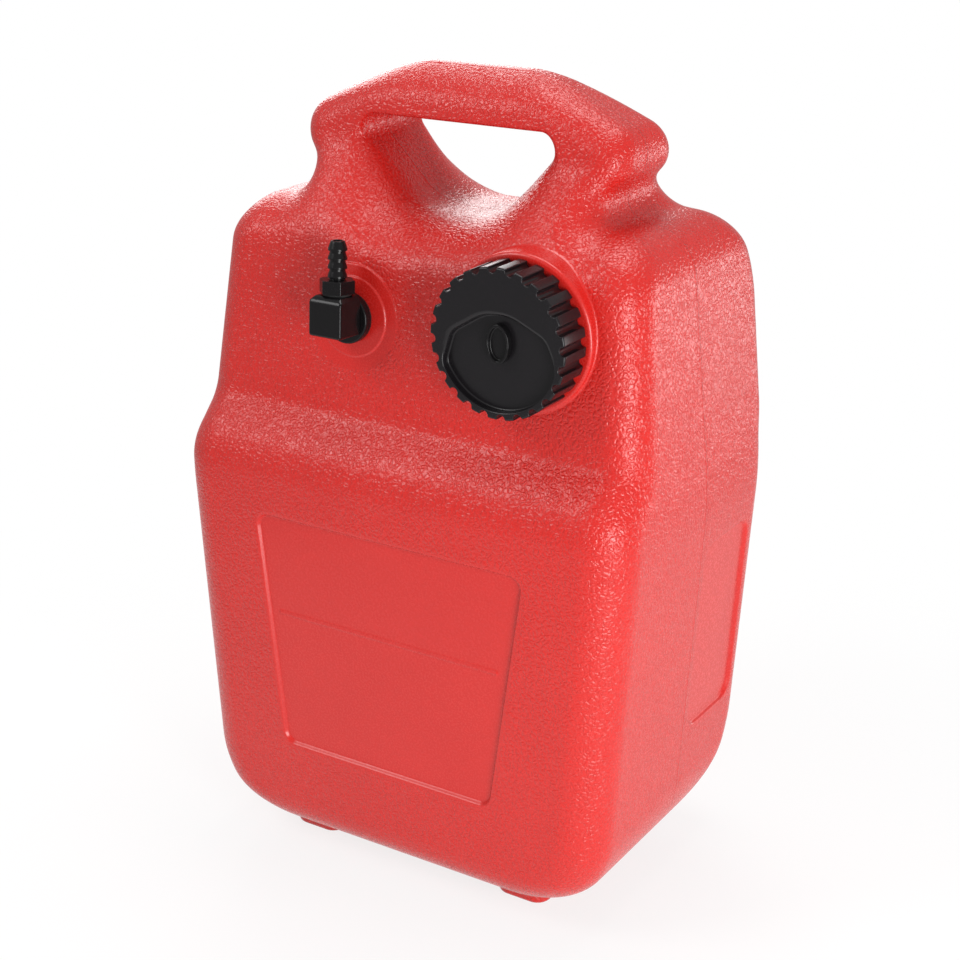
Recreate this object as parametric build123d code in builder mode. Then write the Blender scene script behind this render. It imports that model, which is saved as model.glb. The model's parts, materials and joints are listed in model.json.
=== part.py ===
"""Portable outboard fuel tank, 12 litres, as separate pieces.

Frame: X across the tank, the front face towards -Y, +Z up, origin on the floor under the middle of the tank's
outline. Millimetres. The pieces are drawn about the plane through the handle, and move to that origin at the end.
"""

import math
import os

from build123d import *

# ---------------------------------------------------------------- driving dimensions
# The tank's overall sizes. What lies further up or out keeps its distance from them
tank_height, waist_half_width = 417.0, 133.0
wall, foot_height = 3.0, 3.0

# Tank, seen from the front: half outline from the base up to the top of the handle
base_half_width = waist_half_width - 14.5
waist_height = tank_height - 201.4
shoulder_half_width, shoulder_height = waist_half_width - 13.5, tank_height - 70.4
neck_half_width, neck_height = waist_half_width - 61.5, tank_height - 65.4
grip_half_width, grip_height = waist_half_width - 29.0, tank_height - 30.9
crown_half_width = waist_half_width - 92.5
front_radii = [54.0, 200.0, 25.0, 11.0, 15.5, 58.0]

# Tank, seen from the side: depths of the back and of the front, which steps in above the ledge
back_base, back_shoulder, back_shoulder_height = 74.0, 76.0, tank_height - 89.9
back_grip, back_grip_height, back_crown = 38.0, tank_height - 48.9, 23.5
front_crown, front_grip, front_grip_height = 18.5, 26.0, tank_height - 41.4
front_shoulder, front_shoulder_height = 58.5, tank_height - 80.9
ledge_inner, ledge_top = front_shoulder + 10.0, tank_height - 169.4
ledge_outer, ledge_bottom = front_shoulder + 31.0, tank_height - 190.4
front_base = ledge_outer + 1.5
side_radii = [72.0, 65.0, 34.0, 24.5, 24.5, 26.0, 37.0, 13.5, 34.0, 29.0]
body_edge, upper_edge, grip_edge = 22.0, 19.0, 15.0
crown_flat = 0.6

# Hand opening under the handle
hand_top_half_width, hand_top = grip_half_width - 37.0, tank_height - 25.9
hand_bottom_half_width, hand_bottom = 22.0, neck_height - 6.0
hand_top_radius, hand_bottom_radius = 8.0, 34.0
hand_flare, hand_flare_reach = 26.0, 56.0

# Feet and shallow panels pressed into the tank
foot_width, foot_outer = 30.0, base_half_width - 37.5
foot_inner = foot_outer - foot_width
foot_front, foot_back, foot_corner, foot_depth = 22.6 - front_base, 20.0, 8.0, 14.0
foot_edge = 2.5
panel_relief = 1.5
panel_low, panel_high = foot_height + 61.6, ledge_bottom - 33.0
panel_low_half_width, panel_high_half_width = base_half_width - 54.5, waist_half_width - 52.5
panel_low_shift, panel_corner = -2.0, 7.0
label_low, label_high = foot_height + 79.6, ledge_bottom - 39.0
label_front, label_back, label_corner, label_relief = 4.0, 54.0, 10.0, 1.2
divider_height, divider_half_length = (panel_low + panel_high) / 2 + 10.5, panel_low_half_width + 2.0
divider_width = 1.2

# Filler neck and its cap, square to the front
cap_x, cap_z = waist_half_width - 69.0, tank_height - 111.4
neck_boss_radius, neck_boss_face = 38.8, front_shoulder + 7.9
neck_radius, neck_bore, neck_face, neck_root_length = 25.6, 21.5, neck_boss_face + 11.6, 9.0
thread_pitch, thread_turns, thread_depth = 5.0, 1.5, 1.9
thread_root_width, thread_crest_width, thread_root_overlap = 2.4, 1.2, 0.4
neck_thread_start, cap_thread_turns, thread_clearance = neck_boss_face + 2.8, 1.0, 0.45
cap_radius, cap_groove_depth, cap_groove_side_angle = 36.3, 2.7, 76.0
cap_teeth, cap_tooth_share = 24, 0.46
cap_face, cap_back_gap, cap_rim, cap_turned = neck_face + 8.9, 0.6, 1.0, 3.7
pocket_radius = 32.4
arch_top_half_width, arch_top, arch_corner = 7.0, 13.4, 9.0
arch_knee_half_width, arch_knee, arch_foot_half_width = 25.2, 3.7, 40.7
gasket_thickness, gasket_inner, gasket_outer = 2.0, 20.8, 26.2
crown_thickness = 2.4

# Splash baffle snapped under the cap's crown
baffle_radius, baffle_wall, baffle_length = 20.6, 1.4, 19.0
baffle_holes, baffle_hole_radius, baffle_hole_circle = 6, 2.0, 12.0
baffle_ring_height, snap_clearance = 3.5, 0.05

# Seals and retaining rings
running_clearance = 0.05
seal_section, seal_groove, seal_clearance = 1.4, 1.7, 0.03
clip_thickness, clip_bite, clip_play, clip_margin = 1.0, 0.9, 0.2, 1.0

# Vent screw through the cap
vent_knob_half_width, vent_knob_half_height, vent_knob_wall = 6.2, 9.5, 1.5
vent_knob_depth, vent_knob_floor = 3.4, 1.4
vent_stem_radius, vent_bore, vent_side_bore = 4.0, 1.2, 0.8
vent_hub_radius, vent_hub_length, vent_travel = 8.0, 9.0, 1.2
vent_washer_radius, vent_washer_thickness = 5.8, 0.4
vent_clip_radius = 5.4

# Outlet: everything sits on one axis, tipped back with the tank's upper face
port_x, port_z = 98.5 - waist_half_width, tank_height - 118.4
port_face, port_tilt = front_shoulder + 5.5, 4.0
port_ring_radius, port_ring_step, port_seat_radius = 26.5, 0.8, 20.2
port_bore, port_socket_length = 10.0, 13.0
seat_gasket_thickness, seat_gasket_radius = 1.2, 12.2
collar_radius, collar_length, collar_edge = 12.8, 4.4, 0.6
plug_clearance, plug_rear_bore, plug_rear_depth = 0.1, 8.0, 5.5
swivel_radius, elbow_seal_depth, elbow_clip_radius = 6.0, -1.0, 7.4
elbow_gap, elbow_half_width, elbow_front = 0.3, 9.6, 22.4
elbow_low, elbow_high, elbow_top_chamfer, elbow_edge = 7.0, 13.0, 2.5, 1.2
flow_radius, riser_radius, barb_axis = 2.6, 3.0, 12.0

# Hose barb in the top of the elbow
barb_washer_thickness, barb_washer_radius = 1.0, 7.0
hex_across_corners, hex_height, hex_turn = 18.5, 6.6, 16.0
barb_radius, barb_root, barb_rings, barb_pitch = 4.75, 3.9, 4, 4.4
barb_neck, barb_land, barb_tip, barb_tip_radius, barb_bore = 1.0, 0.9, 1.4, 3.4, 2.2
barb_shank_radius, barb_shank_length = 5.5, 5.0

# Pick-up inside the tank
tail_length, tail_bore, tail_flange = 14.0, 2.6, 2.6
tube_radius, tube_bore, tube_bend, tube_margin = 5.5, 4.0, 38.0, 2.0
clamp_width, clamp_thickness, clamp_setback = 6.0, 0.8, 4.0
clamp_ear, clamp_slit = 4.0, 1.6
strainer_radius, strainer_height, strainer_floor_gap = 11.0, 20.0, 3.0
strainer_posts, strainer_post_radius, strainer_plate = 6, 1.2, 2.0
mesh_radius, mesh_thickness, mesh_slots, mesh_slot_width = 8.4, 0.5, 12, 1.6

os.makedirs("parts", exist_ok=True)

# ---------------------------------------------------------------- shared geometry


def rounded_outline(points, radii):
    """Closed outline with one radius for each corner, as a face."""
    with BuildSketch() as shape:
        with BuildLine():
            FilletPolyline(*points, radius=radii, close=True)
        make_face()
    return shape.sketch.face()


front_half = [
    (base_half_width, foot_height),
    (waist_half_width, waist_height),
    (shoulder_half_width, shoulder_height),
    (neck_half_width, neck_height),
    (grip_half_width, grip_height),
    (crown_half_width, tank_height),
]
front_outline = rounded_outline(
    front_half + [(-x, z) for x, z in reversed(front_half)],
    front_radii + front_radii[::-1],
)
side_outline = rounded_outline(
    [
        (back_base, foot_height),
        (back_shoulder, back_shoulder_height),
        (back_grip, back_grip_height),
        (back_crown, tank_height),
        (-front_crown, tank_height),
        (-front_grip, front_grip_height),
        (-front_shoulder, front_shoulder_height),
        (-ledge_inner, ledge_top),
        (-ledge_outer, ledge_bottom),
        (-front_base, foot_height),
    ],
    side_radii,
)


def crossing(outline, height):
    """Where a level line enters and leaves an outline."""
    reach = 2 * waist_half_width
    cut = outline & Edge.make_line((-reach, height), (reach, height))
    ends = [vertex.X for vertex in cut.vertices()]
    return min(ends), max(ends)


def stations(outlines, low, high, spacing=4.5):
    """Heights that catch every arc of the outlines, from low to high."""
    marks = (0, 1 / 3, 2 / 3, 1)
    heights = sorted(edge.position_at(t).Y for outline in outlines for edge in outline.edges() for t in marks)
    chosen = [low]
    for height in heights:
        if height - chosen[-1] >= spacing and high - height >= spacing / 2:
            chosen.append(height)
    return chosen + [high]


def edge_radius(height):
    """Radius of the tank's upright edges, which tighten towards the handle."""
    if height < ledge_bottom:
        return body_edge
    return upper_edge if height < front_shoulder_height else grip_edge


def loft_between(front, side, low, high, inset):
    """Solid through level rounded rectangles that fill both outlines."""
    with BuildPart() as skin:
        for height in stations([front, side], low, high):
            left, right = crossing(front, height)
            near, far = crossing(side, height)
            width, depth = right - left, far - near
            corner = min(max(edge_radius(height) - inset, 4.0), 0.45 * width, 0.45 * depth)
            with BuildSketch(Plane.XY.offset(height)):
                with Locations(((left + right) / 2, (near + far) / 2)):
                    RectangleRounded(width, depth, corner)
        loft(ruled=True)
    return skin.part


def hand_opening(growth):
    """Tool for the hand opening, flared below towards both faces, and grown all round by growth."""
    reach = hand_flare_reach + 2 * growth
    straight = hand_flare_reach - hand_flare
    depths = [-reach, -(straight + 0.75 * hand_flare), -(straight + 0.4 * hand_flare), -straight]
    depths = depths + [0.0] + [-depth for depth in reversed(depths)]
    with BuildPart() as tool:
        for depth in depths:
            into_flare = min(max(abs(depth) - straight, 0.0), 0.98 * hand_flare)
            drop = hand_flare - math.sqrt(hand_flare**2 - into_flare**2)
            bottom = hand_bottom - growth - drop
            bottom_half = hand_bottom_half_width + 0.5 * growth + 0.5 * drop
            top_half = hand_top_half_width + growth
            points = [
                (top_half, hand_top + growth),
                (bottom_half, bottom),
                (-bottom_half, bottom),
                (-top_half, hand_top + growth),
            ]
            top_radius, bottom_radius = hand_top_radius + growth, hand_bottom_radius
            with BuildSketch(Plane((0, depth, 0), x_dir=(1, 0, 0), z_dir=(0, -1, 0))):
                with BuildLine():
                    FilletPolyline(
                        *points,
                        radius=[top_radius, bottom_radius, bottom_radius, top_radius],
                        close=True,
                    )
                make_face()
        loft()
    return tool.part


def inward(depth, turn=0.0):
    """Plane square to the filler's axis, a distance in front of the tank's middle, turned by some degrees."""
    sideways = (math.cos(math.radians(turn)), 0, math.sin(math.radians(turn)))
    return Plane((cap_x, -depth, cap_z), x_dir=sideways, z_dir=(0, -1, 0))


port_normal = Vector(0, -math.cos(math.radians(port_tilt)), math.sin(math.radians(port_tilt)))
port_plane = Plane((port_x, -port_face, port_z), x_dir=(1, 0, 0), z_dir=port_normal)
barb_plane = Plane(port_plane.from_local_coords((0, 0, barb_axis)), x_dir=(1, 0, 0), z_dir=port_plane.y_dir)


def port_level(height):
    """Plane square to the outlet's axis, at a distance from the tank's boss."""
    return port_plane.offset(height)


def thread_ridge(radius, depth, start_plane, length):
    """One helical ridge standing outwards (or inwards with a negative depth) from a cylinder."""
    bury = math.copysign(thread_root_overlap, -depth)
    with BuildPart() as ridge:
        with BuildLine() as path:
            Helix(thread_pitch, length, radius, center=start_plane.origin, direction=start_plane.z_dir)
        start, tangent = path.edge() @ 0, path.edge() % 0
        outwards = (start - start_plane.origin).normalized()
        with BuildSketch(Plane(start, x_dir=outwards, z_dir=tangent)):
            with BuildLine():
                Polyline(
                    (bury, -thread_root_width / 2),
                    (bury, thread_root_width / 2),
                    (0, thread_root_width / 2),
                    (depth, thread_crest_width / 2),
                    (depth, -thread_crest_width / 2),
                    (0, -thread_root_width / 2),
                    close=True,
                )
            make_face()
        sweep(path=path.edge(), is_frenet=True)
    return ridge.part


# ---------------------------------------------------------------- tank
skin_low = foot_height + 0.05
outer_skin = loft_between(front_outline, side_outline, skin_low, tank_height - crown_flat, 0.0)
inner_front = offset(Sketch() + front_outline, -wall).face()
inner_side = offset(Sketch() + side_outline, -wall).face()
floor_height = foot_height + wall
fuel_room = loft_between(inner_front, inner_side, floor_height + 0.05, tank_height - wall - crown_flat, wall)
fuel_room = fuel_room - hand_opening(wall)
end_slope = (waist_half_width - base_half_width) / (waist_height - foot_height)
end_lean = math.atan(end_slope)
label_half_width = base_half_width + end_slope * ((label_low + label_high) / 2 - foot_height)

neck_thread = thread_ridge(neck_radius, thread_depth, inward(neck_thread_start), thread_turns * thread_pitch)

with BuildPart() as feet:
    with BuildSketch():
        for sign in (-1, 1):
            with Locations((sign * (foot_inner + foot_outer) / 2, (foot_front + foot_back) / 2)):
                RectangleRounded(foot_outer - foot_inner, foot_back - foot_front, foot_corner)
    extrude(amount=foot_depth)
    fillet(feet.faces().filter_by(Plane.XY).group_by(Axis.Z)[0].edges(), foot_edge)

with BuildPart() as tank_body:
    add(outer_skin)
    add(feet)
    # Filler boss, and the two low rings round the outlet
    with BuildSketch(inward(0)):
        Circle(neck_boss_radius)
    extrude(amount=neck_boss_face)
    for ring_radius, ring_face in ((port_ring_radius, -port_ring_step), (port_seat_radius, 0.0)):
        with BuildSketch(port_level(ring_face - port_socket_length)):
            Circle(ring_radius)
        extrude(amount=port_socket_length)
    add(hand_opening(0.0), mode=Mode.SUBTRACT)
    add(fuel_room, mode=Mode.SUBTRACT)
    # Neck tube, and the thick seat that the outlet screws into
    with BuildSketch(inward(neck_boss_face - neck_root_length)):
        Circle(neck_radius)
    extrude(amount=neck_face - neck_boss_face + neck_root_length)
    with BuildSketch(port_level(-port_socket_length)):
        Circle(port_bore + wall)
    extrude(amount=port_socket_length - wall)
    with BuildSketch(inward(0)):
        Circle(neck_bore)
    extrude(amount=neck_face, mode=Mode.SUBTRACT)
    with BuildSketch(port_level(-2 * port_socket_length)):
        Circle(port_bore)
    extrude(amount=3 * port_socket_length, mode=Mode.SUBTRACT)
    # Panel pressed into the lower front, with a divider line left standing across it
    with BuildSketch(Plane((0, -(ledge_outer - panel_relief), 0), x_dir=(1, 0, 0), z_dir=(0, -1, 0))):
        with BuildLine():
            FilletPolyline(
                (panel_high_half_width, panel_high),
                (panel_low_half_width + panel_low_shift, panel_low),
                (-panel_low_half_width + panel_low_shift, panel_low),
                (-panel_high_half_width, panel_high),
                radius=panel_corner,
                close=True,
            )
        make_face()
        with Locations((0, divider_height)):
            SlotOverall(2 * divider_half_length, divider_width, mode=Mode.SUBTRACT)
    extrude(amount=3 * panel_relief, mode=Mode.SUBTRACT)
    # Label panels pressed into both ends, which lean out by the same angle
    for sign in (-1, 1):
        middle = (sign * label_half_width, (label_front + label_back) / 2, (label_low + label_high) / 2)
        face_normal = (sign * math.cos(end_lean), 0, -math.sin(end_lean))
        with BuildSketch(Plane(middle, x_dir=(0, 1, 0), z_dir=face_normal)):
            RectangleRounded(label_back - label_front, label_high - label_low, label_corner)
        extrude(amount=label_relief, both=True, mode=Mode.SUBTRACT)
    add(neck_thread)

# ---------------------------------------------------------------- filler cap
cap_back = neck_boss_face + cap_back_gap
crown_back = neck_face + gasket_thickness
pocket_floor = crown_back + crown_thickness
cap_bore = neck_radius + thread_depth + thread_clearance
tooth_pitch = 2 * math.pi * cap_radius / cap_teeth
groove_mouth = tooth_pitch * (1 - cap_tooth_share)
baffle_bore = baffle_radius - baffle_wall

with BuildPart() as cap_gasket:
    with BuildSketch(inward(neck_face)):
        Circle(gasket_outer)
        Circle(gasket_inner, mode=Mode.SUBTRACT)
    extrude(amount=gasket_thickness)

cap_thread = thread_ridge(
    cap_bore, -thread_depth, inward(neck_thread_start + thread_pitch / 2), cap_thread_turns * thread_pitch
)

with BuildPart() as filler_cap:
    with BuildSketch(inward(cap_back)):
        Circle(cap_radius)
    extrude(amount=cap_face - cap_back)
    chamfer(filler_cap.edges(), cap_rim)
    # Grip teeth round the rim
    with BuildSketch(inward(cap_back)):
        with PolarLocations(cap_radius - cap_groove_depth / 2, cap_teeth, start_angle=cap_turned):
            Trapezoid(groove_mouth, cap_groove_depth, cap_groove_side_angle, rotation=90)
    extrude(amount=cap_face - cap_back, mode=Mode.SUBTRACT)
    # Finger pocket below the raised arch
    with BuildSketch(inward(pocket_floor, cap_turned)):
        Circle(pocket_radius)
        with BuildLine():
            FilletPolyline(
                (arch_foot_half_width, -cap_radius),
                (arch_knee_half_width, arch_knee),
                (arch_top_half_width, arch_top),
                (-arch_top_half_width, arch_top),
                (-arch_knee_half_width, arch_knee),
                (-arch_foot_half_width, -cap_radius),
                radius=arch_corner,
                close=True,
            )
        make_face(mode=Mode.INTERSECT)
    extrude(amount=cap_face - pocket_floor, mode=Mode.SUBTRACT)
    # Threaded socket, with the ring that holds the baffle and the hub for the vent screw
    with BuildSketch(inward(cap_back)):
        Circle(cap_bore)
    extrude(amount=crown_back - cap_back, mode=Mode.SUBTRACT)
    with BuildSketch(inward(crown_back)):
        Circle(baffle_bore - snap_clearance)
        Circle(baffle_bore - snap_clearance - baffle_wall, mode=Mode.SUBTRACT)
    extrude(amount=-baffle_ring_height)
    with BuildSketch(inward(crown_back)):
        Circle(vent_hub_radius)
    extrude(amount=-vent_hub_length)
    with BuildSketch(inward(crown_back - vent_hub_length)):
        Circle(vent_stem_radius + running_clearance)
    extrude(amount=vent_hub_length + crown_thickness, mode=Mode.SUBTRACT)
    add(cap_thread)

with BuildPart() as splash_baffle:
    with BuildSketch(inward(crown_back - baffle_length)):
        Circle(baffle_radius)
    extrude(amount=baffle_length)
    with BuildSketch(inward(crown_back - baffle_length + baffle_wall)):
        Circle(baffle_bore)
    extrude(amount=baffle_length, mode=Mode.SUBTRACT)
    with BuildSketch(inward(crown_back - baffle_length)):
        with PolarLocations(baffle_hole_circle, baffle_holes):
            Circle(baffle_hole_radius)
    extrude(amount=baffle_wall, mode=Mode.SUBTRACT)

# ---------------------------------------------------------------- vent screw
vent_back = pocket_floor + vent_washer_thickness
vent_clip_top = crown_back - vent_hub_length - vent_travel - clip_play
vent_stem_end = vent_clip_top - clip_thickness - clip_margin
vent_seal_depth = crown_back - vent_hub_length / 2
vent_seal_outer = vent_stem_radius + running_clearance - seal_clearance
vent_clip_seat = vent_stem_radius - clip_bite

with BuildPart() as vent_knob:
    with BuildSketch(inward(vent_back)):
        Ellipse(vent_knob_half_width, vent_knob_half_height)
    extrude(amount=vent_knob_depth)
    with BuildSketch(inward(vent_back + vent_knob_floor)):
        Ellipse(vent_knob_half_width - vent_knob_wall, vent_knob_half_height - vent_knob_wall)
    extrude(amount=vent_knob_depth, mode=Mode.SUBTRACT)
    with BuildSketch(inward(vent_stem_end)):
        Circle(vent_stem_radius)
    extrude(amount=vent_back - vent_stem_end)
    # Seats of the seal and of the retaining ring
    with BuildSketch(inward(vent_seal_depth - seal_groove / 2)):
        Circle(vent_stem_radius)
        Circle(vent_seal_outer - seal_section, mode=Mode.SUBTRACT)
    extrude(amount=seal_groove, mode=Mode.SUBTRACT)
    with BuildSketch(inward(vent_clip_top - clip_thickness)):
        Circle(vent_stem_radius)
        Circle(vent_clip_seat, mode=Mode.SUBTRACT)
    extrude(amount=clip_thickness, mode=Mode.SUBTRACT)
    # Air way up the stem and out under the knob
    with BuildSketch(inward(vent_stem_end)):
        Circle(vent_bore)
    extrude(amount=pocket_floor - vent_stem_end, mode=Mode.SUBTRACT)
    with BuildSketch(Plane.YZ.offset(cap_x - vent_stem_radius)):
        with Locations((-(pocket_floor - vent_bore), cap_z)):
            Circle(vent_side_bore)
    extrude(amount=2 * vent_stem_radius, mode=Mode.SUBTRACT)

with BuildPart() as vent_seal_washer:
    with BuildSketch(inward(pocket_floor)):
        Circle(vent_washer_radius)
        Circle(vent_stem_radius + running_clearance, mode=Mode.SUBTRACT)
    extrude(amount=vent_washer_thickness)

with BuildPart() as vent_o_ring:
    with Locations(inward(vent_seal_depth)):
        Torus(vent_seal_outer - seal_section / 2, seal_section / 2)

with BuildPart() as vent_retaining_ring:
    with BuildSketch(inward(vent_clip_top - clip_thickness)):
        Circle(vent_clip_radius)
        Circle(vent_clip_seat, mode=Mode.SUBTRACT)
        with Locations((0, vent_clip_radius)):
            Rectangle(vent_clip_seat, 2 * vent_clip_radius, mode=Mode.SUBTRACT)
    extrude(amount=clip_thickness)

# ---------------------------------------------------------------- outlet
collar_front = seat_gasket_thickness + collar_length
elbow_back = collar_front + elbow_gap
plug_step = plug_rear_depth - port_socket_length
elbow_clip_top = plug_step - clip_play
spigot_end = elbow_clip_top - clip_thickness - clip_margin
elbow_seal_outer = swivel_radius + running_clearance - seal_clearance
elbow_clip_seat = swivel_radius - clip_bite
upward, outward = Axis(port_plane.origin, port_plane.y_dir), Axis(port_plane.origin, port_normal)

with BuildPart() as plug_gasket:
    with BuildSketch(port_level(0)):
        Circle(seat_gasket_radius)
        Circle(port_bore, mode=Mode.SUBTRACT)
    extrude(amount=seat_gasket_thickness)

with BuildPart() as outlet_plug:
    with BuildSketch(port_level(seat_gasket_thickness)):
        Circle(collar_radius)
    extrude(amount=collar_length)
    chamfer(outlet_plug.edges(), collar_edge)
    with BuildSketch(port_level(-port_socket_length)):
        Circle(port_bore - plug_clearance)
    extrude(amount=port_socket_length + seat_gasket_thickness)
    with BuildSketch(port_level(-port_socket_length)):
        Circle(swivel_radius + running_clearance)
    extrude(amount=port_socket_length + collar_front, mode=Mode.SUBTRACT)
    with BuildSketch(port_level(-port_socket_length)):
        Circle(plug_rear_bore)
    extrude(amount=plug_rear_depth, mode=Mode.SUBTRACT)

with BuildPart() as elbow_body:
    with BuildSketch(port_level(elbow_back)):
        with Locations((0, (elbow_high - elbow_low) / 2)):
            Rectangle(2 * elbow_half_width, elbow_high + elbow_low)
    extrude(amount=elbow_front - elbow_back)
    top_edges = elbow_body.faces().sort_by(upward)[-1].edges().sort_by(outward)
    chamfer(top_edges[1:], elbow_top_chamfer)
    fillet(elbow_body.faces().sort_by(upward)[0].edges(), elbow_edge)
    # Spigot that turns in the plug, with the seats of its seal and retaining ring
    with BuildSketch(port_level(spigot_end)):
        Circle(swivel_radius)
    extrude(amount=elbow_back - spigot_end)
    with BuildSketch(port_level(elbow_seal_depth - seal_groove / 2)):
        Circle(swivel_radius)
        Circle(elbow_seal_outer - seal_section, mode=Mode.SUBTRACT)
    extrude(amount=seal_groove, mode=Mode.SUBTRACT)
    with BuildSketch(port_level(elbow_clip_top - clip_thickness)):
        Circle(swivel_radius)
        Circle(elbow_clip_seat, mode=Mode.SUBTRACT)
    extrude(amount=clip_thickness, mode=Mode.SUBTRACT)
    # Fuel way: in along the spigot, then up to the barb
    with BuildSketch(port_level(spigot_end)):
        Circle(flow_radius)
    extrude(amount=barb_axis - spigot_end, mode=Mode.SUBTRACT)
    with BuildSketch(barb_plane.offset(-riser_radius)):
        Circle(riser_radius)
    extrude(amount=elbow_high + riser_radius, mode=Mode.SUBTRACT)
    with BuildSketch(barb_plane.offset(elbow_high)):
        Circle(barb_shank_radius + running_clearance)
    extrude(amount=-barb_shank_length, mode=Mode.SUBTRACT)

with BuildPart() as elbow_o_ring:
    with Locations(port_level(elbow_seal_depth)):
        Torus(elbow_seal_outer - seal_section / 2, seal_section / 2)

with BuildPart() as elbow_retaining_ring:
    with BuildSketch(port_level(elbow_clip_top - clip_thickness)):
        Circle(elbow_clip_radius)
        Circle(elbow_clip_seat, mode=Mode.SUBTRACT)
        with Locations((0, -elbow_clip_radius)):
            Rectangle(elbow_clip_seat, 2 * elbow_clip_radius, mode=Mode.SUBTRACT)
    extrude(amount=clip_thickness)

# ---------------------------------------------------------------- hose barb
hex_low = elbow_high + barb_washer_thickness
barb_start = hex_low + hex_height
barb_end = barb_start + barb_rings * barb_pitch

with BuildPart() as barb_washer:
    with BuildSketch(barb_plane.offset(elbow_high)):
        Circle(barb_washer_radius)
        Circle(barb_shank_radius + running_clearance, mode=Mode.SUBTRACT)
    extrude(amount=barb_washer_thickness)

with BuildPart() as hose_barb:
    with BuildSketch(barb_plane.offset(hex_low)):
        RegularPolygon(hex_across_corners / 2, 6, rotation=hex_turn)
    extrude(amount=hex_height)
    with BuildSketch(barb_plane.offset(elbow_high - barb_shank_length)):
        Circle(barb_shank_radius)
    extrude(amount=barb_shank_length + barb_washer_thickness)
    # Rings that are steep towards the hexagon and sloped towards the tip
    with BuildSketch(Plane(barb_plane.origin, x_dir=barb_plane.x_dir, z_dir=-barb_plane.y_dir)):
        with BuildLine():
            rise = []
            for ring in range(barb_rings):
                low = barb_start + ring * barb_pitch
                rise += [
                    (barb_root, low),
                    (barb_root, low + barb_neck),
                    (barb_radius, low + barb_neck),
                    (barb_radius, low + barb_neck + barb_land),
                ]
            Polyline(
                (0, barb_start),
                *rise,
                (barb_root, barb_end),
                (barb_tip_radius, barb_end + barb_tip),
                (0, barb_end + barb_tip),
                close=True,
            )
        make_face()
    revolve(axis=Axis(barb_plane.origin, barb_plane.z_dir))
    with BuildSketch(barb_plane.offset(elbow_high - barb_shank_length)):
        Circle(barb_bore)
    extrude(amount=barb_end + barb_tip - elbow_high + barb_shank_length, mode=Mode.SUBTRACT)

# ---------------------------------------------------------------- pick-up inside the tank
strainer_low = floor_height + strainer_floor_gap
strainer_top = strainer_low + strainer_height
into_tank = -port_normal
tube_start = port_level(-port_socket_length).origin
bend_start = tube_start + into_tank * (tail_length + tube_margin)
tilt = math.radians(port_tilt)
bend_centre = bend_start - Vector(0, math.sin(tilt), math.cos(tilt)) * tube_bend
bend_middle = bend_centre + Vector(0, math.sin(math.pi / 4 + tilt / 2), math.cos(math.pi / 4 + tilt / 2)) * tube_bend
bend_end = bend_centre + Vector(0, tube_bend, 0)
tube_end = Vector(port_x, bend_end.Y, strainer_top)


def strainer_level(height):
    """Level plane on the axis of the tube's foot."""
    return Plane((port_x, tube_end.Y, height))


with BuildPart() as pickup_tail:
    with BuildSketch(port_level(-port_socket_length)):
        Circle(plug_rear_bore)
    extrude(amount=tail_flange)
    with BuildSketch(port_level(-port_socket_length)):
        Circle(tube_bore)
    extrude(amount=-tail_length)
    with BuildSketch(port_level(tail_flange - port_socket_length)):
        Circle(tail_bore)
    extrude(amount=-(tail_length + tail_flange), mode=Mode.SUBTRACT)

with BuildPart() as dip_tube:
    with BuildLine() as tube_path:
        Line(tube_start, bend_start)
        ThreePointArc(bend_start, bend_middle, bend_end)
        Line(bend_end, tube_end)
    with BuildSketch(Plane(tube_start, x_dir=(1, 0, 0), z_dir=into_tank)):
        Circle(tube_radius)
        Circle(tube_bore, mode=Mode.SUBTRACT)
    sweep(path=tube_path.wire())

with BuildPart() as dip_tube_clamp:
    with BuildSketch(port_level(-port_socket_length - clamp_setback)):
        with Locations((0, tube_radius + clamp_ear / 2)):
            Rectangle(2 * clamp_thickness + clamp_slit, clamp_ear + 2 * clamp_thickness)
        Circle(tube_radius + clamp_thickness)
        with Locations((0, tube_radius)):
            Rectangle(clamp_slit, 4 * clamp_ear, mode=Mode.SUBTRACT)
        Circle(tube_radius, mode=Mode.SUBTRACT)
    extrude(amount=-clamp_width)

with BuildPart() as strainer_body:
    for plate_low in (strainer_low, strainer_top - strainer_plate):
        with BuildSketch(strainer_level(plate_low)):
            Circle(strainer_radius)
        extrude(amount=strainer_plate)
    with BuildSketch(strainer_level(strainer_low)):
        with PolarLocations(mesh_radius + strainer_post_radius, strainer_posts):
            Circle(strainer_post_radius)
    extrude(amount=strainer_height)
    with BuildSketch(strainer_level(strainer_top)):
        Circle(tube_bore)
    extrude(amount=tail_length)
    with BuildSketch(strainer_level(strainer_top - strainer_plate)):
        Circle(tail_bore)
    extrude(amount=strainer_plate + tail_length, mode=Mode.SUBTRACT)

with BuildPart() as strainer_mesh:
    with BuildSketch(strainer_level(strainer_low + strainer_plate)):
        Circle(mesh_radius)
        Circle(mesh_radius - mesh_thickness, mode=Mode.SUBTRACT)
    extrude(amount=strainer_height - 2 * strainer_plate)
    with BuildSketch(strainer_level(strainer_low + 2 * strainer_plate)):
        with PolarLocations(mesh_radius, mesh_slots, start_angle=180 / strainer_posts):
            Rectangle(2 * mesh_thickness + mesh_slot_width, mesh_slot_width)
    extrude(amount=strainer_height - 4 * strainer_plate, mode=Mode.SUBTRACT)

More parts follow.
